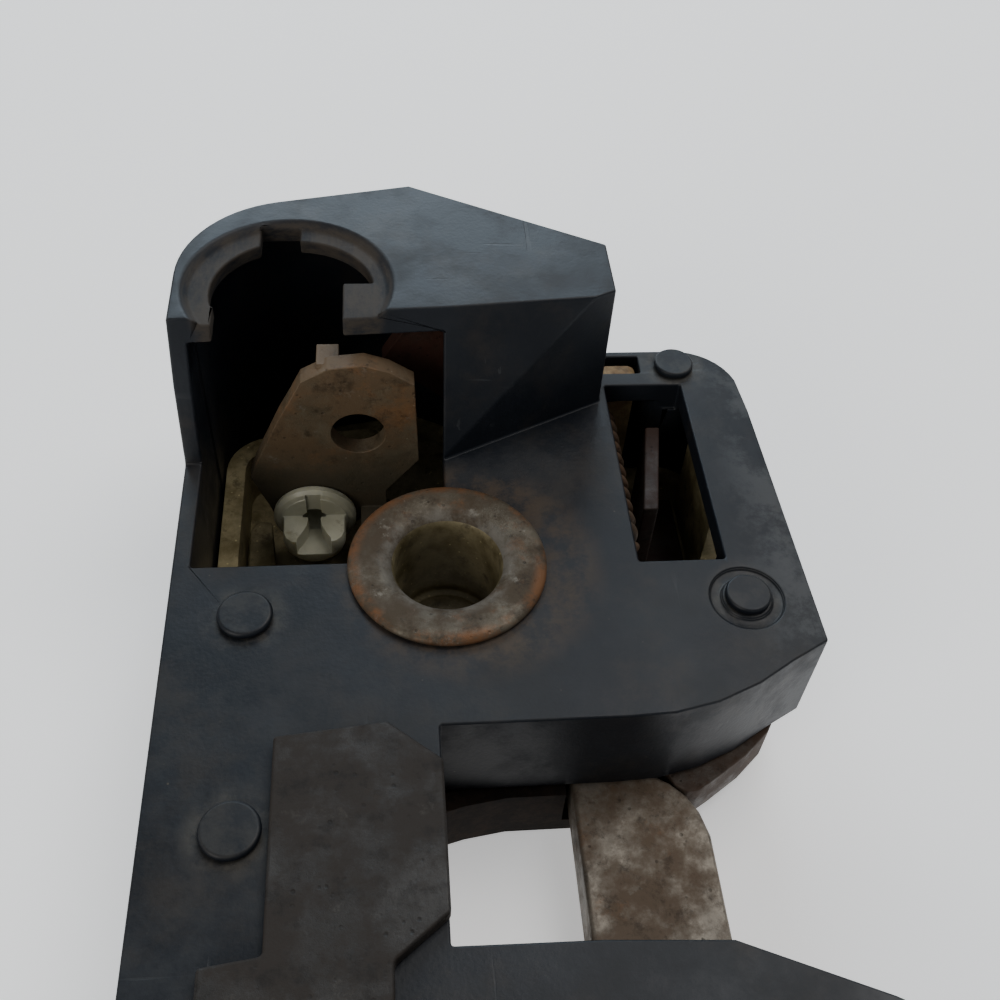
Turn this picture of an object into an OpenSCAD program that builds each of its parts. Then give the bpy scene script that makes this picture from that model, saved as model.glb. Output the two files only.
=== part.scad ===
// Rotary door latch: a claw and pawl between a pressed tray and a moulded cover with a raised hood.
// Origin: axis of the upper bush at the back face of the tray. +Z out of the cover, +Y to the hood.

/* [Body] */
// Left side of the cover, measured from the upper bush axis
left_x = 25.5; // [25:0.5:26.5]
// Right side of the cover, measured from the upper bush axis
right_x = 34.3; // [34:0.1:34.6]
// Height of the cover's main face above the back of the tray
face_z = 19.5; // [19:0.5:21]
// Lower edge of the cover's side walls where the claw and the pawl swing out under them
skirt_z = 7.5; // [7.4:0.1:7.8]
// Lower edge of the cover's side walls everywhere else
skirt_low_z = 2.1; // [2.05:0.05:2.5]
// Wall thickness of the cover
wall = 1.7; // [1.5:0.1:1.9]
// Thickness of the cover's main face
face_t = 2.5; // [2:0.1:3]
// Distance between the upper and the lower bush
pivot_gap = 53; // [53:0.5:54]
// Lower end of the body
low_y = -70; // [-74:1:-68]

/* [Hood] */
// Height of the hood above the main face
hood_h = 15; // [14:0.5:17]
// Radius of the hood's outer corner
hood_r = 12; // [11.5:0.5:12]
// Radius of the collar hole
collar_r = 7.9; // [7.5:0.1:8.1]
// Outer radius of the shallow ring around the collar hole
collar_ring_r = 10.3; // [10:0.1:10.5]
// Depth of the ring around the collar hole
collar_depth = 0.7; // [0.5:0.1:1]

/* [Tray] */
// Sheet thickness of the tray
tray_t = 2; // [1.8:0.1:2.1]
// Height of the tray's left flange above its back face
flange_z = 8.5; // [8:0.5:9]

/* [Bushes] */
// Outer radius of the bushes
bush_r = 6.2; // [6.1:0.1:6.3]
// Radius of the wide upper bore
bush_bore_r = 5; // [4.8:0.1:5.2]
// Radius of the fixing bore
fix_r = 4.25; // [4.1:0.05:4.4]
// Length of the fixing bore
fix_len = 9; // [8:0.5:10]
// Radius of the bush flange
bush_flange_r = 9.35; // [9.1:0.05:9.4]
// Thickness of the bush flange
bush_flange_t = 1; // [0.8:0.1:1.3]

/* [Claw and pawl] */
// Underside of the claw and the pawl
layer_z = 2.3; // [2.25:0.05:2.4]
// Thickness of the claw and the pawl
layer_t = 4.9; // [4.5:0.1:4.9]
// Running clearance on the bushes
run_gap = 0.05; // [0.03:0.01:0.08]

/* [Strap] */
// Thickness of the reinforcing strap
strap_t = 1.5; // [1.2:0.1:1.8]

/* [Levers] */
// Front face of the release lever's upright plate
plate_y = 16; // [15.8:0.1:16.2]
// Thickness of the release lever
lever_t = 2; // [1.8:0.1:2]
// Radius of the rod clip's disc
clip_disc_r = 4.4; // [4.2:0.1:4.5]
// Radius of the rod clip's rod hole
clip_bore_r = 1.6; // [1.4:0.1:1.7]

/* [Hidden] */
$fn = 64;
eps = 0.01;
hood_z = face_z + hood_h;
ceil_z = hood_z - 2.2;
claw_c = [0, -pivot_gap];
lever_z = layer_z + layer_t + 0.6;
pin_head_h = 0.8;
big_pins = [[-18.4, -5.2], [-18.3, -25.8], [-18.4, -64]];
small_pins = [[27.8, -4.9], [26.4, 26.9], [27, -50]];
clip_c = [-13.35, face_z - 10.3];
seat_gap = 0.05;

// drive pin in the pawl, how many degrees it runs ahead of the lever, and the spring's post
drive_pin = [4.2, 9.6];
pin_run = 8;
post_c = [17.3, -1.2];

// middle of the collar hole
collar_c = [-14.1, 22.9];

// pivot of the lock lever, front of the guide bracket and its rivets
lock_c = [-17, 3.5];
bracket_y = 21.5;
rivet_c = [[5, 26.6], [11, 26.6]];

// hood corner: circle centre, peak of the roof line and the tangent between them
hood_c = [-left_x + hood_r, 25];
peak = [-2.4, 39.5];
roof_end = [17.4, 29.1];
peak_d = norm(peak - hood_c);
peak_a = atan2(peak.y - hood_c.y, peak.x - hood_c.x) + acos(hood_r / peak_d);
tray_in = 0.6;
flange_t = 2.1;

function arc(c, r, a0, a1, n = 10) =
    [for (i = [0 : n]) c + r * [cos(a0 + (a1 - a0) * i / n), sin(a0 + (a1 - a0) * i / n)]];

// outline of the hood's roof line from the left side to the right side
function roof(d = 0) = concat(
    arc(hood_c, hood_r - d, 180, peak_a, 14),
    [peak + [0, -d * 1.1], roof_end + [-d, -d * 0.6]]);

// outline of the whole body, moved in by d
function body_outline(d = 0) = concat(
    roof(d),
    [[19.5, 29.5 - d]],
    arc([26.6, 22.9], 6.6 - d, 90, 15, 8),
    [[right_x - 0.9 - d, 19.8], [right_x - d, -10 + d * 0.6]],
    [[30.6, -12 + d], [27, -14.2 + d], [23, -15.9 + d], [19, -16.8 + d], [15, -17 + d]],
    [[-1.5 - d, -17 + d], [-1.5 - d, -35.6 - d]],
    [[10, -35.8 - d], [19.9, -36.4 - d], [31, -41.2 - d], [right_x - d, -43 - d * 0.4]],
    arc([right_x - 9, low_y + 9], 9 - d, 0, -90, 8),
    arc([-left_x + 7, low_y + 7], 7 - d, 270, 180, 8));

// round hole of radius r down through everything at p
module drill(p, r) {
    translate([p.x, p.y, -1])
        cylinder(r = r, h = 60);
}

module slab(z0, z1) {
    translate([0, 0, z0])
        linear_extrude(z1 - z0)
            children();
}

// upright plate parallel to XZ, its near face at y0
module upright(y0, t) {
    translate([0, y0 + t, 0])
        rotate([90, 0, 0])
            linear_extrude(t)
                children();
}

// upper edge of the tray's throat from right to left, moved up by d
function throat_edge(d) = [[5, -17.8 + d], [1, -18.4 + d], [-2, -19.2 + d], [-6, -21 + d]];

// ---- back tray: floor, left and top flange, flange along the throat ----
module tray_floor_plan() {
    difference() {
        polygon(concat(
            roof(tray_in),
            [[19.5, 29.5 - tray_in]],
            arc([26.6, 22.9], 6, 90, 15, 8),
            [[right_x - 1.5, 19.8], [right_x - 1.9, -4], [29.5, -9], [23.5, -14], [19, -17.8]],
            throat_edge(0), [[-6, -35.2]],
            [[19, -35.2], [24, -37.3], [30, -41.9], [right_x - tray_in, -43.8]],
            arc([right_x - 9, low_y + 9], 9 - tray_in, 0, -90, 8),
            arc([-left_x + 7, low_y + 7], 7 - tray_in, 270, 180, 8)));
        circle(r = bush_r + seat_gap);
        translate(claw_c)
            circle(r = bush_r + seat_gap);
        tray_small_holes();
    }
}

module tray_small_holes() {
    for (p = big_pins)
        translate(p)
            circle(r = 1.75 + seat_gap);
    translate(lock_c)
        circle(r = 1.5 + seat_gap);
    for (p = rivet_c)
        translate(p)
            circle(r = 1.6 + seat_gap);
}

module back_tray() {
    color([0.62, 0.55, 0.32]) {
        slab(0, tray_t)
            tray_floor_plan();
        // left flange with its rounded upper corner
        slab(tray_t - eps, flange_z)
            polygon(concat(
                [[-left_x + flange_t, -58], [-left_x + flange_t, 23]],
                arc([-left_x + flange_t + 5, 23], 5, 180, 100, 8),
                [[-6, 29.2], [-6, 27.1]],
                arc([-left_x + flange_t + 5, 23], 5 - flange_t, 100, 180, 8),
                [[-left_x + 2 * flange_t, -58]]));
        // short flange on the right side, beside the spring
        slab(tray_t - eps, 13)
            polygon([[28.4, 9.5], [30.2, 9.5], [30.2, 21.8], [28.4, 21.8]]);
        // flange along the throat's upper edge
        slab(tray_t - eps, layer_z + layer_t - 0.1)
            polygon(concat([[10.4, -15.9]], throat_edge(1.9), [[-6, -21]],
                [[-2, -19.2], [1, -18.4], [5, -17.8], [10.4, -17.8]]));
    }
}

// ---- front cover ----
// everything above z0 that isn't hood: right of it and in front of its leaning lower wall
module beside_hood(d, z0) {
    difference() {
        translate([-60, -90, z0])
            cube([140, 180, 40]);
        hull() {
            slab(z0 - 1, face_z + 0.2)
                polygon([[-50, 14 + d], [0.2, 13.5 + d], [17.4 - d, 21.6 + d], [17.4 - d, 60],
                    [-50, 60]]);
            slab(hood_z, hood_z + 2)
                polygon([[-50, 17.7 + d], [1.3, 20.3 + d], [17.4 - d, 21.7 + d], [17.4 - d, 60],
                    [-50, 60]]);
        }
    }
}

// collar hole with its teeth, its open lower part and the notch at its top
module collar_cut() {
    difference() {
        translate(collar_c)
            circle(r = collar_r);
        translate([-9.25, 14])
            square([5, 10.1]);
        translate([-24, 14])
            square([2.5, 6.8]);
    }
    translate([-21.5, 8])
        square([12.25, 13.5]);
    translate([-17.5, 24])
        square([3.9, 8.7]);
}

module boss(p, r, z0) {
    translate([p.x, p.y, z0])
        cylinder(r = r, h = face_z - 1.2 - z0);
}

module cover_shell() {
    difference() {
        slab(skirt_low_z, hood_z)
            polygon(body_outline());
        beside_hood(0, face_z);
        difference() {
            slab(skirt_low_z - 1, ceil_z)
                polygon(body_outline(wall + 0.15));
            beside_hood(wall, face_z - face_t);
        }
        // room for the claw and the pawl to swing out under the side walls
        translate([-8, -48, skirt_low_z - 1])
            cube([60, 40, skirt_z - skirt_low_z + 1]);
        translate([20, -62, skirt_low_z - 1])
            cube([30, 74, skirt_z - skirt_low_z + 1]);
    }
}

module front_cover() {
    color([0.09, 0.1, 0.12])
        difference() {
            union() {
                cover_shell();
                boss([0, 0], bush_flange_r, 14.2);
                boss(claw_c, bush_flange_r, 14.2);
                for (p = big_pins)
                    boss(p, 3, 8.6);
                for (p = small_pins)
                    boss(p, 3.3, 9);
            }
            // window of the pocket
            slab(skirt_z - 2, ceil_z - 0.1)
                polygon([[-left_x + wall, 0.7], [0, 0.7], [0.4, 20.2], [-left_x + wall, 20.2]]);
            slab(ceil_z - 3, hood_z + 1)
                collar_cut();
            translate([collar_c.x - 0.4, collar_c.y + 0.3, hood_z - collar_depth])
                cylinder(r1 = collar_ring_r - 0.9, r2 = collar_ring_r + 0.1, h = collar_depth + 0.1);
            drill([0, 0], bush_r + seat_gap);
            drill(claw_c, bush_r + seat_gap);
            // long slot and small slot
            slab(face_z - face_t - 1, face_z + 1)
                translate([18.3, -0.2])
                    square([8.4, 24.2]);
            slab(face_z - face_t - 1, face_z + 1)
                translate([17.6, 26])
                    square([5, 2.6]);
            for (p = big_pins)
                drill(p, 1.75 + seat_gap);
            for (p = small_pins)
                translate([p.x, p.y, 12])
                    cylinder(r = 1.6 + seat_gap, h = face_z);
            // moat around one small pin
            translate([small_pins[0].x, small_pins[0].y, face_z - 0.35])
                difference() {
                    cylinder(r = 3.5, h = 1);
                    translate([0, 0, -1])
                        cylinder(r = 2.4, h = 3);
                }
        }
}

// ---- pins through the cover ----
module stake(p, head_r, shaft_r, z0) {
    translate([p.x, p.y, z0])
        cylinder(r = shaft_r, h = face_z - z0 + eps);
    translate([p.x, p.y, face_z])
        cylinder(r = head_r, h = pin_head_h);
}

module cover_pins_large() {
    color([0.11, 0.12, 0.14])
        for (p = big_pins)
            stake(p, 2.5, 1.75, 0.3);
}

module cover_pins_small() {
    color([0.11, 0.12, 0.14])
        for (p = small_pins)
            stake(p, 2.15, 1.6, 12.2);
}

// ---- hollow bushes ----
module bush(c, flange_z0) {
    translate([c.x, c.y, 0])
        rotate_extrude()
            polygon([[fix_r, 0], [bush_r, 0], [bush_r, flange_z0], [bush_flange_r, flange_z0],
                [bush_flange_r, flange_z0 + bush_flange_t * 0.5],
                [bush_flange_r - 0.5, flange_z0 + bush_flange_t],
                [bush_bore_r + 0.4, flange_z0 + bush_flange_t],
                [bush_bore_r, flange_z0 + bush_flange_t - 0.4],
                [bush_bore_r, fix_len], [fix_r, fix_len]]);
}

module upper_bush() {
    color([0.55, 0.38, 0.2])
        bush([0, 0], face_z);
}

module lower_bush() {
    color([0.55, 0.38, 0.2])
        bush(claw_c, face_z + strap_t);
}

// ---- claw ----
module claw_plan() {
    polygon(concat(
        // front arm, its catch and shoulder
        [[11, -13.5], [12.2, -12.6], [14.5, -13.3], [20.3, -17.1], [21.6, -18.4]],
        [[22.6, -20.1], [23.2, -22.5], [23.2, -34], [21.6, -42], [17.4, -48], [12.5, -55]],
        [[-13, -56], [-15, -46], [-15, -36], [-14.2, -29.5]],
        // rear arm
        [[-12.5, -26.4], [-9.5, -24.8], [-6, -23.8], [-3.2, -23.9], [-2, -25.2]],
        arc([1, -31], 3, 180, 270, 6),
        arc([8, -31], 3, 270, 360, 6)));
}

module claw() {
    color([0.45, 0.33, 0.24])
        difference() {
            union() {
                slab(layer_z, layer_z + layer_t)
                    claw_plan();
                translate([claw_c.x, claw_c.y, layer_z])
                    cylinder(r = 14, h = layer_t);
            }
            drill(claw_c, bush_r + run_gap);
        }
}

module coil_stack(r_mid, wire, turns, pitch) {
    for (i = [0 : turns - 1])
        translate([0, 0, i * pitch])
            rotate_extrude()
                translate([r_mid, 0])
                    circle(r = wire, $fn = 20);
    translate([r_mid, 0, 0])
        cylinder(r = wire * 0.9, h = (turns - 1) * pitch, $fn = 16);
}

module leg(a, l, wire, z) {
    translate([0, 0, z])
        rotate([0, 90, a])
            cylinder(r = wire, h = l, $fn = 16);
}

module claw_spring() {
    color([0.35, 0.33, 0.31])
        translate([claw_c.x, claw_c.y, 9.6]) {
            coil_stack(8.2, 0.9, 3, 1.7);
            translate([8.2, 0, 0])
                leg(60, 10, 0.9, 0);
            translate([-8.2, 0, 3.4])
                leg(140, 9, 0.9, 0);
        }
}

module pivot_washers() {
    color([0.8, 0.79, 0.72])
        for (c = [[0, 0], claw_c])
            difference() {
                translate([c.x, c.y, layer_z + layer_t + 0.1])
                    cylinder(r = 9, h = 0.4);
                drill(c, bush_r + seat_gap);
            }
}

// ---- pawl ----
module pawl_plan() {
    polygon([[-2, 9.5], [4, 12.6], [8, 11.6], [19, 4.5], [27, 0.5], [30.2, -2.1],
        [31.8, -4.3], [32.6, -7], [32.3, -10], [31, -12.1], [28.2, -14.6], [24.6, -17],
        [22.9, -18], [21.7, -18.1], [20.75, -17.35], [20.3, -16.2], [18.5, -14.2],
        [14, -12], [11, -11.3], [5, -8.5]]);
}

module pawl() {
    color([0.42, 0.3, 0.22])
        difference() {
            union() {
                slab(layer_z, layer_z + layer_t)
                    pawl_plan();
                translate([0, 0, layer_z])
                    cylinder(r = 10, h = layer_t);
            }
            drill([0, 0], bush_r + run_gap);
            drill(drive_pin, 1.5);
            drill(post_c, 1.5);
        }
}

module pawl_drive_pin() {
    color([0.5, 0.45, 0.4])
        translate([drive_pin.x, drive_pin.y, layer_z])
            cylinder(r = 1.5, h = 8.4);
}

module pawl_spring_post() {
    color([0.5, 0.45, 0.4])
        translate([post_c.x, post_c.y, layer_z])
            cylinder(r = 1.5, h = 12.7);
}

module pawl_spring() {
    color([0.4, 0.3, 0.24])
        translate([17.3, 6.8, 13])
            rotate([-90, 0, 0])
                coil_stack(2.5, 0.6, 12, 1.6);
}

module spring_anchor() {
    color([0.5, 0.33, 0.2]) {
        slab(tray_t + 0.02, tray_t + 2)
            polygon([[14, 25.7], [22.4, 25.7], [22.4, 27.5], [14, 27.5]]);
        upright(26.25, 1.3)
            polygon(concat([[14, tray_t + 1], [22.4, tray_t + 1]],
                arc([21.2, face_z - 1.6], 1.2, 0, 90, 6),
                arc([19, face_z - 1.6], 1.2, 90, 180, 6),
                [[17.8, 15.6], [14, 15.6]]));
    }
}

// upright plate that keeps the pawl spring in line, with its foot on the tray
module spring_guide() {
    color([0.3, 0.17, 0.12]) {
        slab(tray_t + 0.02, 15.5)
            polygon([[20.9, 9.6], [22.5, 9.6], [24.6, 21.5], [23, 21.5]]);
        slab(tray_t + 0.02, tray_t + 1.8)
            polygon([[21.7, 10.4], [27.6, 10.4], [27.6, 21], [23.7, 21]]);
    }
}

// ---- release lever and its rod clip ----
// slot of height h that lets the drive pin run ahead of the lever
module pin_slot(h) {
    r = norm(drive_pin);
    a0 = atan2(drive_pin.y, drive_pin.x);
    rotate([0, 0, a0])
        rotate_extrude(angle = pin_run)
            translate([r - 1.6, 0])
                square([3.2, h]);
    for (a = [a0, a0 + pin_run])
        rotate([0, 0, a])
            translate([r, 0, 0])
                cylinder(r = 1.75, h = h);
}

module release_lever() {
    color([0.47, 0.32, 0.2])
        difference() {
            union() {
                slab(lever_z, lever_z + lever_t) {
                    circle(r = 9);
                    polygon([[-8.4, 0], [-8.4, plate_y + 1], [-5.6, plate_y + 1], [7, 12], [8, 4]]);
                }
                upright(plate_y, lever_t)
                    difference() {
                        polygon([[-19.7, 14.7], [-18.9, 16.9], [-16.1, 23.2], [-14.7, 25.9],
                            [-13.6, 28.2], [-10.85, 29.8], [-7.4, 30.2], [-4.95, 29.3],
                            [-2.55, 27.6], [-2.1, 16.9], [-5.6, 12.3], [-5.6, lever_z],
                            [-8.4, lever_z],
                            [-9.6, 6.6], [-11.2, 5.4], [-13.4, 5], [-15.6, 5.6],
                            [-17.4, 7.6], [-18.2, 10.4]]);
                        translate([-8.25, 21])
                            circle(r = 2.75);
                        translate(clip_c)
                            circle(r = 3 + seat_gap);
                    }
                // small tab bent back from the plate's top edge
                translate([-12, plate_y + 1, 28])
                    cube([2.2, 3, 1.6]);
            }
            translate([0, 0, lever_z - 1])
                cylinder(r = bush_r + run_gap, h = lever_t + 2);
            // curved slot that the drive pin slides in
            translate([0, 0, lever_z - 1])
                pin_slot(lever_t + 2);
        }
}

// groove that the rod lies in: pinched near the disc, then flared to its mouth
module rod_groove() {
    lip = [[0.85, 1.1], [0.65, 2], [0.8, 2.9], [1.25, 3.8], [1.75, 4.6], [2, 6.5]];
    translate([0, 4, 0])
        rotate([90, 0, 0])
            linear_extrude(5)
                polygon(concat(lip, [for (i = [len(lip) - 1 : -1 : 0]) [-lip[i].x, lip[i].y]]));
}

module rod_clip() {
    color([0.85, 0.86, 0.78])
        translate([clip_c.x, plate_y, clip_c.y])
            rotate([90, 0, 0])
                difference() {
                    // collar snapped into the plate, disc against it, cradle with a round nose
                    rotate_extrude()
                        polygon([[0, -lever_t - 0.6], [3, -lever_t - 0.6], [3, 0.02],
                            [clip_disc_r - 0.3, 0.02], [clip_disc_r, 0.35], [clip_disc_r, 0.9],
                            [clip_disc_r - 0.35, 1.25], [3.6, 1.35], [3.35, 1.7], [3.3, 3.8],
                            [3.05, 4.5], [2.5, 5], [1.7, 5.2], [0, 5.2]]);
                    // the cradle is open from just above the rod's middle
                    translate([-5, 1, 1.45])
                        cube([10, 6, 6]);
                    rod_groove();
                    translate([0, 0, -lever_t - 1])
                        cylinder(r = clip_bore_r, h = lever_t + 2.7);
                }
}

module lever_return_spring() {
    color([0.35, 0.33, 0.31])
        translate([0, 0, 11.2]) {
            coil_stack(7.9, 0.6, 3, 1.1);
            translate([7.9, 0, 2.2])
                leg(-50, 9, 0.6, 0);
        }
}

// ---- lock lever ----
module lock_lever() {
    color([0.66, 0.58, 0.34])
        difference() {
            union() {
                translate([lock_c.x, lock_c.y, tray_t + 0.4])
                    cylinder(r = 3.8, h = 1.8);
                slab(tray_t + 0.4, tray_t + 2.2)
                    polygon([[-20.6, 2.6], [-21, 17.6], [-20.2, 19], [-18.6, 18.8],
                        [-17.8, 12], [-13.5, 2.6]]);
            }
            drill(lock_c, 1.5 + run_gap);
        }
}

module lock_pivot() {
    color([0.6, 0.52, 0.32])
        translate([lock_c.x, lock_c.y, 0.3]) {
            cylinder(r = 1.5, h = tray_t + 2.3);
            translate([0, 0, tray_t + 2.1])
                cylinder(r = 2.6, h = 1);
        }
}

// ---- guide bracket inside the hood ----
module guide_bracket() {
    color([0.4, 0.2, 0.12])
        difference() {
            union() {
                upright(bracket_y, 2)
                    polygon([[1.2, tray_t + 0.02], [1.2, 20], [-5.7, face_z + 6.4],
                        [-2.3, face_z + 12.4], [0.4, face_z + 12.4], [6, face_z + 4.5],
                        [10, 16.5], [14, 16.5], [14, tray_t + 0.02]]);
                slab(tray_t + 0.02, tray_t + 2)
                    polygon([[1.2, bracket_y + 1], [14, bracket_y + 1], [14, 25.2], [12.8, 29],
                        [1.2, 29]]);
            }
            for (p = rivet_c)
                translate([p.x, p.y, 0])
                    cylinder(r = 1.6 + seat_gap, h = 8);
        }
}

module bracket_rivets() {
    color([0.5, 0.46, 0.4])
        for (p = rivet_c)
            translate([p.x, p.y, 0.3]) {
                cylinder(r = 1.6, h = tray_t + 1.8);
                translate([0, 0, tray_t + 1.72])
                    cylinder(r = 2.8, h = 1.2);
            }
}

// ---- reinforcing strap on the cover's face ----
module front_strap() {
    color([0.36, 0.3, 0.26])
        difference() {
            union() {
                slab(face_z, face_z + strap_t)
                    polygon([[-15.2, -18.2], [-5.9, -17.2], [-1.4, -20.9], [-1.4, -33.6],
                        [-5.7, -37], [-5.7, -50], [-12, -60], [-19.8, -56], [-19.8, -36.6],
                        [-15.2, -36]]);
                translate([claw_c.x, claw_c.y, face_z])
                    cylinder(r = 12, h = strap_t);
            }
            drill(claw_c, bush_r + seat_gap);
        }
}

back_tray();
front_cover();
cover_pins_large();
cover_pins_small();
upper_bush();
lower_bush();
claw();
claw_spring();
pivot_washers();
pawl();
pawl_spring();
pawl_spring_post();
pawl_drive_pin();
release_lever();
rod_clip();
lever_return_spring();
lock_lever();
lock_pivot();
guide_bracket();
bracket_rivets();
front_strap();
spring_anchor();
spring_guide();
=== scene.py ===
import math

import bpy
from mathutils import Matrix, Vector


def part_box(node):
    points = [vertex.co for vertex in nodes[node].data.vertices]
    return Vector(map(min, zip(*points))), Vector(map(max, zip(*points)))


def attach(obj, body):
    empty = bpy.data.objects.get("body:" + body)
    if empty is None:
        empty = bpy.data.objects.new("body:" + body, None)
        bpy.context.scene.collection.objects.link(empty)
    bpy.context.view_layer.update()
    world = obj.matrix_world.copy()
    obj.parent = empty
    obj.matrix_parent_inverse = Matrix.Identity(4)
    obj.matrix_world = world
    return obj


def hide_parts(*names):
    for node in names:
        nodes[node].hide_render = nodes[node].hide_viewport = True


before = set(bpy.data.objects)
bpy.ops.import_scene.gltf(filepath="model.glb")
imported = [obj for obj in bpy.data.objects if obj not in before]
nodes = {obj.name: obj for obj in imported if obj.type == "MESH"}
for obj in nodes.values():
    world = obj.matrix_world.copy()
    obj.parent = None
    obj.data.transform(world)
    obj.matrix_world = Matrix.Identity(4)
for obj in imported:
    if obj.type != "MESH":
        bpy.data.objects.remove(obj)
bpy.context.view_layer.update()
MM = 0.001
X, Y, Z = Vector((1, 0, 0)), Vector((0, 1, 0)), Vector((0, 0, 1))


def middle_of(node):
    low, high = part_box(node)
    return (low + high) / 2


PIN_HEIGHT = 0.8 * MM                                        # of the small pins above the main face
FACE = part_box("cover_pins_small")[1].z - PIN_HEIGHT          # cover's main face
STRAP_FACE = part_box("front_strap")[1].z                      # strap's outer face, under the lower bush
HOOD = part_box("front_cover")[1].z                            # hood's outer face
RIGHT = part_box("front_cover")[1].x                           # right side of the cover
BUSH = middle_of("upper_bush")
LOWER = middle_of("lower_bush")
COLLAR = BUSH + Vector((-14.5, 23.2, 0)) * MM                # middle of the ring round the collar
# middles of the cover's pins from the upper bush, in mm
PINS = ((-18.4, -5.2), (-18.3, -25.8), (-18.4, -64), (27.8, -4.9), (26.4, 26.9), (27, -50))


# ---------------------------------------------------------------- building materials
class Tree:
    """Small helper that builds one material's nodes."""

    def __init__(self, name):
        self.mat = bpy.data.materials.new(name)
        self.mat.use_nodes = True
        self.nt = self.mat.node_tree
        self.nt.nodes.clear()
        self.bsdf = self.node("BsdfPrincipled", {})
        self.node("OutputMaterial", {"Surface": self.bsdf.outputs[0]})
        self.coord = self.node("TexCoord", {}).outputs["Object"]
        self.normal = None

    def put(self, socket, value):
        """Link a socket to another, or set it to a number, a vector or a colour."""
        if isinstance(value, bpy.types.NodeSocket):
            self.nt.links.new(value, socket)
        elif socket.type == "RGBA":
            socket.default_value = (*value, 1)
        else:
            socket.default_value = value

    def node(self, kind, inputs, **settings):
        """A new shader node; inputs maps a socket's name or number to its value."""
        n = self.nt.nodes.new("ShaderNode" + kind)
        for key, value in settings.items():
            setattr(n, key, value)
        for key, value in inputs.items():
            self.put(n.inputs[key], value)
        return n

    def noise(self, scale, detail=6, rough=0.6, stretch=(1, 1, 1), offset=(0, 0, 0), rot=(0, 0, 0)):
        place = self.node("Mapping", {"Vector": self.coord, "Location": offset, "Rotation": rot,
                                      "Scale": stretch})
        n = self.node("TexNoise", {"Vector": place.outputs[0], "Scale": scale, "Detail": detail,
                                   "Roughness": rough})
        return n.outputs["Fac"]

    def dots(self, scale, core, rim):
        """Scattered dots: 1 within core of a dot's middle, 0 beyond rim."""
        n = self.node("TexVoronoi", {"Vector": self.coord, "Scale": scale})
        return self.ramp(n.outputs["Distance"], core, rim, 1.0, 0.0)

    def ramp(self, value, lo, hi, a=0.0, b=1.0):
        """A smooth step from a, where value is at lo or less, to b, where it is at hi or more."""
        n = self.node("MapRange", {"Value": value, "From Min": lo, "From Max": hi, "To Min": a,
                                   "To Max": b}, interpolation_type="SMOOTHSTEP")
        return n.outputs[0]

    def math(self, op, a, b):
        return self.node("Math", {0: a, 1: b}, operation=op).outputs[0]

    def times(self, *factors):
        """Product of two or more numbers and sockets."""
        product = factors[0]
        for factor in factors[1:]:
            product = self.math("MULTIPLY", product, factor)
        return product

    def mix(self, fac, a, b):
        """Colour between a, where fac is 0, and b, where it is 1."""
        return self.node("Mix", {0: fac, 6: a, 7: b}, data_type="RGBA").outputs[2]

    def mixf(self, fac, a, b):
        """Number between a, where fac is 0, and b, where it is 1."""
        return self.node("Mix", {0: fac, 2: a, 3: b}, data_type="FLOAT").outputs[0]

    def bump(self, height, strength, distance):
        """Relief on top of the bumps made so far."""
        inputs = {"Height": height, "Strength": strength, "Distance": distance}
        if self.normal is not None:
            inputs["Normal"] = self.normal
        self.normal = self.node("Bump", inputs).outputs[0]

    def up(self):
        """How far the surface faces up, -1 to 1."""
        normal = self.node("NewGeometry", {}).outputs["Normal"]
        return self.node("SeparateXYZ", {0: normal}).outputs[2]

    def along(self, axis):
        """The object's own coordinate along axis 0, 1 or 2."""
        return self.node("SeparateXYZ", {0: self.coord}).outputs[axis]

    def near(self, centre, inner, outer):
        """1 within inner of the upright line through centre, 0 beyond outer."""
        away = self.node("VectorMath", {0: self.coord, 1: centre}, operation="SUBTRACT").outputs[0]
        level = self.node("VectorMath", {0: away, 1: (1, 1, 0)}, operation="MULTIPLY").outputs[0]
        distance = self.node("VectorMath", {0: level}, operation="LENGTH").outputs["Value"]
        return self.ramp(distance, inner, outer, 1.0, 0.0)

    def band(self, rise, full, fade, gone):
        """1 between the heights full and fade, 0 below rise and above gone."""
        z = self.along(2)
        return self.times(self.ramp(z, rise, full), self.ramp(z, fade, gone, 1.0, 0.0))

    def finish(self, colour, rough, metallic=0.0, spec=0.5):
        surface = {"Base Color": colour, "Roughness": rough, "Metallic": metallic,
                   "Specular IOR Level": spec}
        if self.normal is not None:
            surface["Normal"] = self.normal
        for key, value in surface.items():
            self.put(self.bsdf.inputs[key], value)
        return self.mat


def shade(colour, factor):
    return tuple(c * factor for c in colour)


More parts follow.
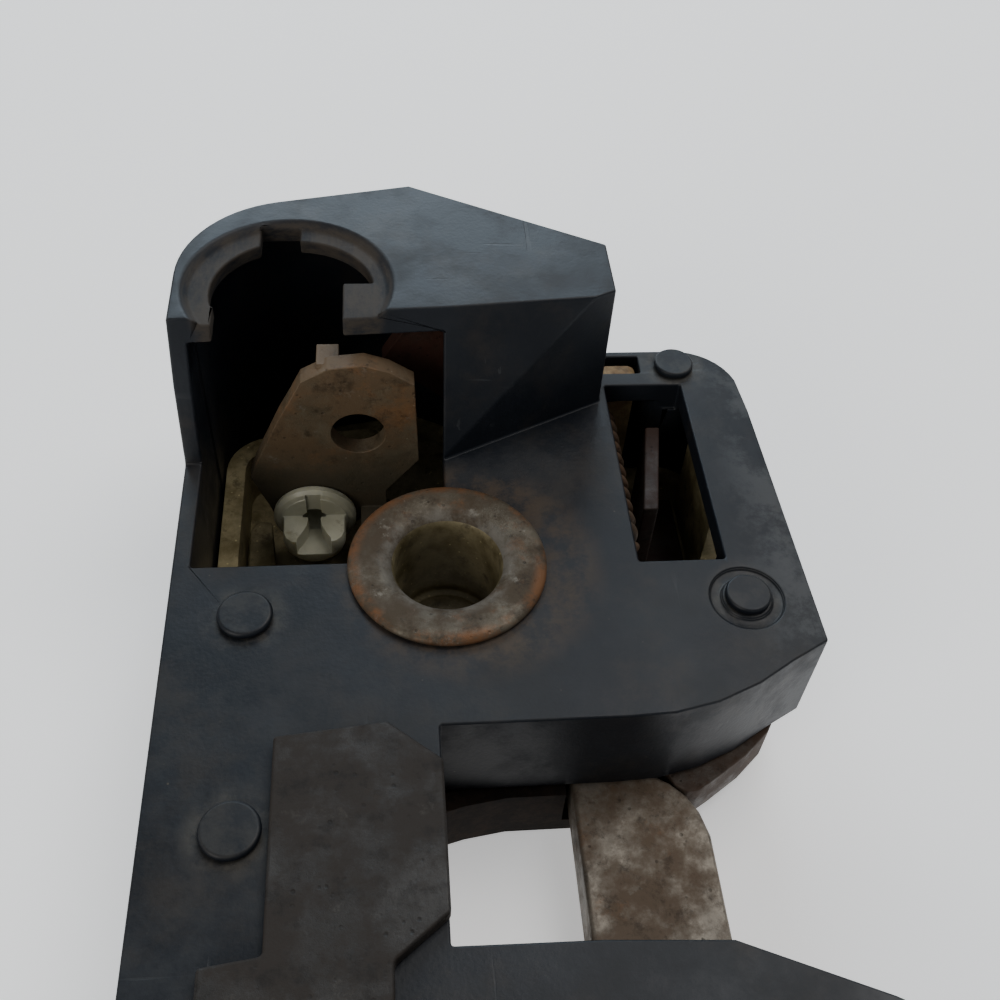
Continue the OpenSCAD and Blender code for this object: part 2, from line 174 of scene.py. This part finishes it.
# ---------------------------------------------------------------- the materials
def black_plastic(name, dust=1.0):
    """Black moulded plastic; dust scales how much dust, rust powder and grit lie on it, and how strong the
    painted sheen along the right side is.
    """
    t = Tree(name)
    cloud = t.ramp(t.noise(90, 5, 0.6), 0.35, 0.7)
    colour = t.mix(cloud, (0.006, 0.008, 0.012), (0.012, 0.015, 0.02))
    lie = t.ramp(t.up(), 0.55, 0.95)
    # dry dust lying on what faces up, blotchy
    blotch = t.ramp(t.noise(120, 8, 0.7, offset=(3, 1, 2)), 0.42, 0.68)
    colour = t.mix(t.times(lie, blotch, 0.22 * dust), colour, (0.06, 0.058, 0.054))
    # rust powder that the upper bush shed around its flange, a little more to the right
    shed = t.near(BUSH + 2 * MM * X, 9.5 * MM, 14 * MM)
    ring = t.times(shed, t.ramp(t.noise(300, 6, 0.7), 0.36, 0.62))
    colour = t.mix(t.times(ring, 0.5 * dust), colour, (0.1, 0.068, 0.04))
    brown = t.ramp(t.noise(60, 8, 0.75, offset=(8, 3, 5)), 0.47, 0.7)
    colour = t.mix(t.times(brown, 0.5 * dust), colour, (0.04, 0.033, 0.026))
    # dust caught round the pins
    halo = 0.0
    for x, y in PINS:
        halo = t.math("MAXIMUM", halo, t.near(BUSH + Vector((x, y, 0)) * MM, 2.4 * MM, 4.6 * MM))
    patchy = t.ramp(t.noise(380, 7, 0.7, offset=(6, 6, 1)), 0.4, 0.66)
    colour = t.mix(t.times(halo, patchy, lie, 0.5 * dust), colour, (0.085, 0.078, 0.064))
    # painted sheen: a pale bluish streak along the right side, on what faces up, broken into patches
    side = t.ramp(t.along(0), RIGHT - 8 * MM, RIGHT - 1 * MM)
    worn = t.ramp(t.noise(140, 8, 0.75, offset=(9, 2, 6)), 0.44, 0.6)
    colour = t.mix(t.times(side, worn, lie, 0.45 * dust), colour, (0.085, 0.088, 0.09))
    # dry brown dirt in the shallow ring round the collar
    shallow = t.band(HOOD - 2.6 * MM, HOOD - 2.3 * MM, HOOD - 0.3 * MM, HOOD + 0.05 * MM)
    collar = t.times(t.near(COLLAR, 9.6 * MM, 10.6 * MM), shallow)
    streaks = t.ramp(t.noise(520, 6, 0.7, (1, 0.35, 3), offset=(2, 2, 2)), 0.3, 0.62)
    colour = t.mix(t.times(collar, streaks, 0.8), colour, (0.05, 0.04, 0.03))
    # fine pale scratches, two ways
    scratch_a = t.ramp(t.noise(900, 3, 0.5, (0.05, 1, 0.4), rot=(0, 0, 0.5)), 0.67, 0.72)
    scratch_b = t.ramp(t.noise(1100, 3, 0.5, (1, 0.06, 0.4), rot=(0, 0, 0.25)), 0.68, 0.73)
    where = t.ramp(t.noise(60, 3, 0.5, offset=(1, 7, 0)), 0.52, 0.66)
    scratch = t.times(t.math("MAXIMUM", scratch_a, scratch_b), where)
    colour = t.mix(t.times(scratch, 0.3), colour, (0.09, 0.095, 0.1))
    grit = t.times(t.dots(700, 0.04, 0.09), t.ramp(t.noise(200, 3), 0.55, 0.7))
    colour = t.mix(t.times(grit, 0.4 * dust), colour, (0.14, 0.12, 0.09))
    t.bump(t.noise(2600, 3, 0.5), 0.1, 0.2 * MM)
    t.bump(t.times(scratch, -1.0), 0.25, 0.1 * MM)
    t.bump(t.noise(130, 3, 0.5), 0.14, 0.6 * MM)
    rough = t.mixf(t.math("MAXIMUM", blotch, ring), 0.4, 0.58)
    return t.finish(colour, t.mixf(collar, rough, 0.7), spec=0.27)


def rusty(name, steel, brown, orange, film, orange_at, scale=1.0, metal=0.5, pale=0.0, oil=0.0, more=None):
    """Steel under layers of brown film, orange rust, black pits and pale worn or chalky spots.

    film is how much of it is brown, 0 to 1, and orange_at is where the orange starts: lower is more.
    more adds what only this piece has, to the colour.
    """
    t = Tree(name)
    colour = t.mix(t.ramp(t.noise(260 * scale, 5, 0.6), 0.35, 0.7), steel,
                   tuple(c * 1.6 + 0.006 for c in steel))
    start = 0.62 - 0.35 * film
    mask = t.ramp(t.noise(150 * scale, 9, 0.72, offset=(2, 5, 1)), start - 0.09, start + 0.12)
    colour = t.mix(mask, colour, brown)
    spots = t.ramp(t.noise(230 * scale, 9, 0.78, offset=(4, 4, 9)), orange_at - 0.04, orange_at + 0.14)
    colour = t.mix(t.times(spots, 0.75), colour, orange)
    deep = t.ramp(t.noise(420 * scale, 8, 0.75, offset=(7, 2, 4)), 0.5, 0.68)
    colour = t.mix(t.times(deep, 0.7), colour, shade(brown, 0.3))
    pits = t.times(t.dots(1150 * scale, 0.1, 0.24),
                   t.ramp(t.noise(300 * scale, 4, 0.6, offset=(5, 1, 8)), 0.48, 0.62))
    colour = t.mix(t.times(pits, 0.65), colour, shade(brown, 0.25))
    if pale:
        chalk = t.ramp(t.noise(430 * scale, 7, 0.75, offset=(1, 9, 3)), 0.585, 0.7)
        colour = t.mix(t.times(chalk, pale), colour, (0.3, 0.285, 0.245))
    if more:
        colour = more(t, colour)
    t.bump(t.noise(1500 * scale, 6, 0.7), 0.35, 0.12 * MM)
    t.bump(t.times(pits, -1.0), 0.45, 0.12 * MM)
    t.bump(mask, 0.3, 0.1 * MM)
    t.bump(t.noise(420 * scale, 4, 0.6), 0.25, 0.3 * MM)
    rough = t.mixf(mask, 0.42 - oil, 0.74 - oil)
    return t.finish(colour, rough, t.mixf(mask, metal, metal * 0.2), 0.35)


def rim_highlight_and_rust(t, colour):
    """Bushes: a pale painted highlight round the mouth's rounded edge, orange rust round the flange's
    edge.
    """
    mouth_highlight_patches = t.ramp(t.noise(330, 7, 0.75, offset=(3, 8, 2)), 0.36, 0.62)
    other = t.ramp(t.noise(210, 7, 0.75, offset=(7, 1, 5)), 0.42, 0.62)
    for centre in (BUSH, LOWER):
        # painted highlight: a pale band round the mouth, in patches
        mouth = t.near(centre, 5.7 * MM, 6.9 * MM)
        colour = t.mix(t.times(mouth, mouth_highlight_patches, 0.75), colour, (0.165, 0.155, 0.135))
        edge = t.math("SUBTRACT", t.near(centre, 9.8 * MM, 10 * MM), t.near(centre, 7.9 * MM, 8.9 * MM))
        colour = t.mix(t.times(edge, other, 0.8), colour, (0.17, 0.072, 0.026))
    return colour


def darker_foot_painted_glints(t, colour):
    """Release lever: its lower half is darker, with a ragged edge, and has painted glints, small pale
    dots, in places.
    """
    # darker towards the lever's low end
    drift = t.math("ADD", t.along(2), t.times(t.noise(160, 7, 0.75), 9 * MM))
    low = t.ramp(drift, 18.5 * MM, 25 * MM, 0.85, 0.0)
    colour = t.mix(low, colour, (0.05, 0.046, 0.031))
    # painted glints: small pale dots that stand in for highlights
    painted_glint = t.times(t.dots(800, 0.03, 0.09), t.ramp(t.noise(240, 4), 0.5, 0.62))
    return t.mix(t.times(painted_glint, 0.6), colour, (0.36, 0.33, 0.24))


def zinc(name, level=1.0, painted_shade_below=None):
    """Yellow passivated steel with bright grains, and a dark brown painted shade where Y is under the
    given limit.
    """
    t = Tree(name)
    cloud = t.ramp(t.noise(240, 7, 0.7), 0.35, 0.68)
    colour = t.mix(cloud, shade((0.13, 0.105, 0.05), level), shade((0.27, 0.23, 0.13), level))
    stain = t.ramp(t.noise(500, 7, 0.75, offset=(3, 3, 3)), 0.52, 0.7)
    colour = t.mix(t.times(stain, 0.7), colour, (0.035, 0.027, 0.014))
    grains = t.dots(900, 0.05, 0.14)
    colour = t.mix(t.times(grains, 0.5), colour, shade((0.6, 0.52, 0.27), level))
    t.bump(t.noise(1300, 5, 0.7), 0.35, 0.15 * MM)
    rough = t.mixf(cloud, 0.35, 0.6)
    if painted_shade_below is None:
        return t.finish(colour, rough, 0.35, 0.45)
    # painted shade: dark brown where Y is low, with a ragged edge, for the shadow under the block
    ragged = t.math("SUBTRACT", t.along(1), t.times(t.noise(200, 6, 0.7), 8 * MM))
    low = t.ramp(ragged, painted_shade_below - 8 * MM, painted_shade_below, 1.0, 0.0)
    rust = t.mix(t.ramp(t.noise(420, 8, 0.75), 0.4, 0.65), (0.011, 0.007, 0.005), (0.03, 0.018, 0.011))
    return t.finish(t.mix(low, colour, rust), t.mixf(low, rough, 0.85), t.mixf(low, 0.35, 0.0), 0.3)


def nylon(name):
    """Natural nylon: creamy, a little translucent, with grime in its hollows."""
    t = Tree(name)
    cloud = t.ramp(t.noise(300, 5, 0.6), 0.35, 0.7)
    colour = t.mix(cloud, (0.4, 0.39, 0.29), (0.56, 0.55, 0.43))
    grime = t.ramp(t.noise(520, 7, 0.75, offset=(2, 8, 1)), 0.55, 0.72)
    colour = t.mix(t.times(grime, 0.5), colour, (0.15, 0.12, 0.06))
    t.bump(t.noise(900, 4, 0.6), 0.1, 0.2 * MM)
    t.put(t.bsdf.inputs["Subsurface Weight"], 0.35)
    t.put(t.bsdf.inputs["Subsurface Radius"], (2 * MM, 1.8 * MM, 1.2 * MM))
    t.put(t.bsdf.inputs["Subsurface Scale"], 0.6)
    return t.finish(colour, t.mixf(cloud, 0.28, 0.45))


M = {
    "plastic": black_plastic("plastic_black"),
    "pin": black_plastic("plastic_pin", 0.45),
    "claw": rusty("steel_claw", (0.19, 0.168, 0.136), (0.13, 0.094, 0.064), (0.22, 0.115, 0.055),
                  film=0.42, orange_at=0.6, metal=0.3, pale=0.3),
    "pawl": rusty("steel_pawl", (0.06, 0.05, 0.042), (0.055, 0.032, 0.02), (0.12, 0.055, 0.026),
                  film=0.5, orange_at=0.6, metal=0.4, pale=0.25),
    "bush": rusty("steel_bush", (0.085, 0.074, 0.054), (0.06, 0.044, 0.027), (0.13, 0.062, 0.026),
                  film=0.5, orange_at=0.58, metal=0.35, pale=0.5, more=rim_highlight_and_rust),
    # bore: a darker copy of the zinc, painted shade inside the bore; tray: a lighter copy, painted light
    # where it sits in shade, with painted shade under the block
    "bore": zinc("steel_bore", 0.75),
    "tray": zinc("steel_tray", 1.3, painted_shade_below=BUSH.y - 8 * MM),
    "lever": rusty("steel_lever", (0.12, 0.098, 0.064), (0.12, 0.08, 0.044), (0.2, 0.1, 0.042),
                   film=0.6, orange_at=0.54, metal=0.3, pale=0.3, oil=0.14, more=darker_foot_painted_glints),
    "bracket": rusty("steel_bracket", (0.034, 0.02, 0.014), (0.04, 0.014, 0.008), (0.085, 0.028, 0.014),
                     film=0.7, orange_at=0.6, metal=0.2),
    "strap": rusty("steel_strap", (0.02, 0.0185, 0.017), (0.022, 0.017, 0.0135), (0.036, 0.025, 0.017),
                   film=0.5, orange_at=0.64, scale=0.8, metal=0.2, pale=0.06),
    "anchor": rusty("steel_anchor", (0.3, 0.22, 0.11), (0.2, 0.12, 0.055), (0.36, 0.19, 0.07),
                    film=0.45, orange_at=0.56, metal=0.3, pale=0.4),
    "guide": rusty("steel_guide", (0.024, 0.017, 0.014), (0.03, 0.015, 0.01), (0.05, 0.024, 0.015),
                   film=0.6, orange_at=0.6, metal=0.15),
    "spring": rusty("steel_spring", (0.1, 0.08, 0.06), (0.1, 0.06, 0.036), (0.17, 0.085, 0.035),
                    film=0.5, orange_at=0.6, metal=0.4),
    "plain": rusty("steel_plain", (0.16, 0.14, 0.11), (0.09, 0.055, 0.03), (0.17, 0.085, 0.035),
                   film=0.35, orange_at=0.62, metal=0.6),
    "zinc": zinc("steel_zinc"),
    "nylon": nylon("nylon_natural"),
}


# ---------------------------------------------------------------- the CAD pieces
def dress(obj, material):
    obj.data.materials.clear()
    obj.data.materials.append(material)


def soften(obj, width, clamp):
    """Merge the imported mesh's split corners, join its flat triangles and round its edges.

    Without clamp, short edges don't hold the rounding back, and the flats are split again before it.
    """
    w = obj.modifiers.new("weld", "WELD")
    w.merge_threshold = 0.004 * MM
    d = obj.modifiers.new("flat", "DECIMATE")
    d.decimate_type = "DISSOLVE"
    d.angle_limit = math.radians(0.6)
    if not clamp:
        obj.modifiers.new("split", "TRIANGULATE")
    b = obj.modifiers.new("edge", "BEVEL")
    b.width = width
    b.segments = 3
    b.limit_method = "ANGLE"
    b.angle_limit = math.radians(28)
    b.harden_normals = False
    b.miter_outer = "MITER_ARC"
    b.use_clamp_overlap = clamp
    b.loop_slide = clamp
    for p in obj.data.polygons:
        p.use_smooth = True
    n = obj.modifiers.new("shade", "WEIGHTED_NORMAL")
    n.keep_sharp = True


# CAD node: its look and how far its edges are rounded, in mm
LOOK = {
    "back_tray": ("tray", 0.25), "front_cover": ("plastic", 0.22), "cover_pins_large": ("pin", 0.4),
    "cover_pins_small": ("pin", 0.35), "claw": ("claw", 0.45), "pivot_washers": ("nylon", 0.1),
    "pawl": ("pawl", 0.45), "pawl_spring_post": ("plain", 0.2), "pawl_drive_pin": ("plain", 0.2),
    "release_lever": ("lever", 0.25), "rod_clip": ("nylon", 0.4), "lock_lever": ("zinc", 0.2),
    "lock_pivot": ("zinc", 0.2), "guide_bracket": ("bracket", 0.25), "bracket_rivets": ("plain", 0.2),
    "front_strap": ("strap", 0.3), "spring_anchor": ("anchor", 0.3), "spring_guide": ("guide", 0.3),
}
for node_name, (look, width) in LOOK.items():
    dress(nodes[node_name], M[look])
    soften(nodes[node_name], width * MM, clamp=node_name != "front_cover")


# ---------------------------------------------------------------- turned bushes and wound springs
def piece(name, verts, faces, node, material):
    """A mesh that stands for one CAD node fixed to the housing."""
    mesh = bpy.data.meshes.new(name)
    mesh.from_pydata(verts, [], faces)
    mesh.update()
    for p in mesh.polygons:
        p.use_smooth = True
    obj = bpy.data.objects.new(name, mesh)
    bpy.context.scene.collection.objects.link(obj)
    dress(obj, material)
    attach(obj, "housing")
    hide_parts(node)
    return obj


TURNED_SIDES = 96
BORE_FROM = 17                                         # the profile's first point inside the mouth


def bush_profile(face):
    """Hollow bush from the back upwards: body, worn round flange, wide mouth, fixing bore."""
    return [(4.25, 0.25), (4.5, 0), (5.95, 0), (6.2, 0.25), (6.2, face - 0.02), (6.3, face), (8.9, face),
            (9.2, face + 0.1), (9.35, face + 0.34), (9.32, face + 0.56), (9.1, face + 0.78),
            (8.7, face + 0.92), (8.1, face + 0.99), (7.2, face + 1), (6.5, face + 0.95),
            (6.0, face + 0.8), (5.6, face + 0.55), (5.25, face + 0.2), (5.03, face - 0.3),
            (5, face - 0.9), (5, 9.3), (4.9, 9.0), (4.4, 9.0), (4.25, 8.8)]


def turned_bush(node, face):
    """The bush's closed profile turned about the node's middle; its flange lies on that face."""
    centre = middle_of(node)
    profile = bush_profile(face / MM)
    n = len(profile)
    verts = []
    faces = []
    for i in range(TURNED_SIDES):
        a = 2 * math.pi * i / TURNED_SIDES
        verts += [(centre.x + r * MM * math.cos(a), centre.y + r * MM * math.sin(a), z * MM)
                  for r, z in profile]
        j = (i + 1) % TURNED_SIDES
        faces += [(i * n + k, j * n + k, j * n + (k + 1) % n, i * n + (k + 1) % n) for k in range(n)]
    obj = piece(node + "_turned", verts, faces, node, M["bush"])
    obj.data.materials.append(M["bore"])
    for p in obj.data.polygons:
        p.material_index = 1 if p.index % n >= BORE_FROM else 0


turned_bush("upper_bush", FACE)
turned_bush("lower_bush", STRAP_FACE)

WIRE_SIDES = 12
HELIX_STEPS = 40                                       # points in one turn


def wound(name, path, radius, node):
    """A spring of round wire along a path, with closed ends."""
    verts = []
    faces = []
    side = None
    for i, p in enumerate(path):
        ahead = (path[min(i + 1, len(path) - 1)] - path[max(i - 1, 0)]).normalized()
        if side is None:
            side = ahead.orthogonal().normalized()
        side = (side - ahead * side.dot(ahead)).normalized()
        over = ahead.cross(side)
        for k in range(WIRE_SIDES):
            a = 2 * math.pi * k / WIRE_SIDES
            verts.append(tuple(p + (side * math.cos(a) + over * math.sin(a)) * radius))
    ring = range(WIRE_SIDES)
    for i in range(len(path) - 1):
        near, far = i * WIRE_SIDES, (i + 1) * WIRE_SIDES
        for k in ring:
            m = (k + 1) % WIRE_SIDES
            faces.append((near + k, near + m, far + m, far + k))
    last = (len(path) - 1) * WIRE_SIDES
    faces.append(tuple(reversed(ring)))
    faces.append(tuple(last + k for k in ring))
    piece(name, verts, faces, node, M["spring"])


def helix(start, axis, radius, pitch, turns, hand=1):
    """Points of a helix about the line through start; it begins on the +X side and climbs along axis."""
    other = axis.cross(X) * hand
    points = []
    for i in range(int(turns * HELIX_STEPS) + 1):
        a = 2 * math.pi * i / HELIX_STEPS
        points.append(start + (X * math.cos(a) + other * math.sin(a)) * radius
                      + axis * pitch * i / HELIX_STEPS)
    return points


def leg(angle, length):
    """Straight run of a spring's leg, level, at that angle in degrees."""
    a = math.radians(angle)
    return Vector((math.cos(a), math.sin(a), 0)) * length


# pawl spring: a compression spring along Y with one closed turn at each end
low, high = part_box("pawl_spring")
wire = 0.6 * MM
coil = 2.5 * MM
closed = 1.3 * MM                                      # pitch of the closed turns
live_turns = 9
run = high.y - low.y - 2 * wire
start = Vector(((low.x + high.x) / 2, low.y + wire, (low.z + high.z) / 2))
path = (helix(start, Y, coil, closed, 1)
        + helix(start + Y * closed, Y, coil, (run - 2 * closed) / live_turns, live_turns)[1:]
        + helix(start + Y * (run - closed), Y, coil, closed, 1)[1:])
wound("pawl_spring_wound", path, wire, "pawl_spring")

# claw spring: a torsion spring round the lower bush, with two legs
wire = 0.9 * MM
start = Vector((LOWER.x, LOWER.y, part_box("claw_spring")[0].z + wire))
path = helix(start, Z, 8.2 * MM, 1.9 * MM, 1.5, hand=-1)
path = [path[0] + leg(60, 10 * MM)] + path + [path[-1] + leg(140, 9 * MM)]
wound("claw_spring_wound", path, wire, "claw_spring")

# lever return spring: a torsion spring round the upper bush, with one leg
wire = 0.6 * MM
start = Vector((BUSH.x, BUSH.y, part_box("lever_return_spring")[0].z + wire))
path = helix(start, Z, 7.9 * MM, 1.3 * MM, 1.5, hand=-1)
wound("lever_spring_wound", path + [path[-1] + leg(130, 5 * MM)], wire, "lever_return_spring")

# ---------------------------------------------------------------- floor, light, camera
FLOOR_GAP = 0.4 * MM                                   # between the floor and the latch's back
bpy.ops.mesh.primitive_plane_add(size=3, location=(0, 0, -FLOOR_GAP))
floor = bpy.context.object
floor.name = "floor"
t = Tree("floor_pale")
tone = t.mix(t.ramp(t.noise(3, 2), 0.3, 0.7), (0.86, 0.86, 0.86), (0.9, 0.9, 0.9))
t.put(t.bsdf.inputs["Emission Color"], (1, 1, 1))
t.put(t.bsdf.inputs["Emission Strength"], 0.5)
dress(floor, t.finish(tone, 0.7))

world = bpy.data.worlds.new("world")
bpy.context.scene.world = world
world.use_nodes = True
sky = world.node_tree.nodes["Background"]
sky.inputs["Color"].default_value = (0.95, 0.97, 1, 1)
sky.inputs["Strength"].default_value = 0.27

# area lights that face the origin: place and size in metres, power in watts, colour
LIGHTS = {
    "window": ((-0.05, 0.75, 0.44), 0.55, 4.4, (0.72, 0.87, 1)),
    "top": ((0.3, 0.2, 0.75), 0.45, 2.8, (1, 0.97, 0.94)),
    "fill": ((-0.5, -0.45, 0.36), 0.4, 2.1, (1, 0.95, 0.88)),
}
for name, (place, size, power, colour) in LIGHTS.items():
    data = bpy.data.lights.new(name, "AREA")
    data.size = size
    data.energy = power
    data.color = colour
    light = bpy.data.objects.new(name, data)
    bpy.context.scene.collection.objects.link(light)
    light.location = place
    light.rotation_euler = (-Vector(place)).to_track_quat("-Z", "Y").to_euler()

cam_data = bpy.data.cameras.new("camera")
cam_data.sensor_width = 36
cam_data.lens = 42.02
cam_data.clip_start = 5 * MM
cam = bpy.data.objects.new("camera", cam_data)
bpy.context.scene.collection.objects.link(cam)
# the eye stands low and close above the upper bush, and looks up the latch and down at its face
right = Vector((0.9955, -0.0796, 0.0513)).normalized()
ahead = Vector((0.0910, 0.6523, -0.7525)).normalized()
ahead = (ahead - right * ahead.dot(right)).normalized()
over = right.cross(ahead)
eye = Vector((BUSH.x - 4.9 * MM, BUSH.y - 67.4 * MM, FACE + 86.9 * MM))
cam.matrix_world = Matrix(((right.x, over.x, -ahead.x, eye.x), (right.y, over.y, -ahead.y, eye.y),
                           (right.z, over.z, -ahead.z, eye.z), (0, 0, 0, 1)))
bpy.context.scene.camera = cam
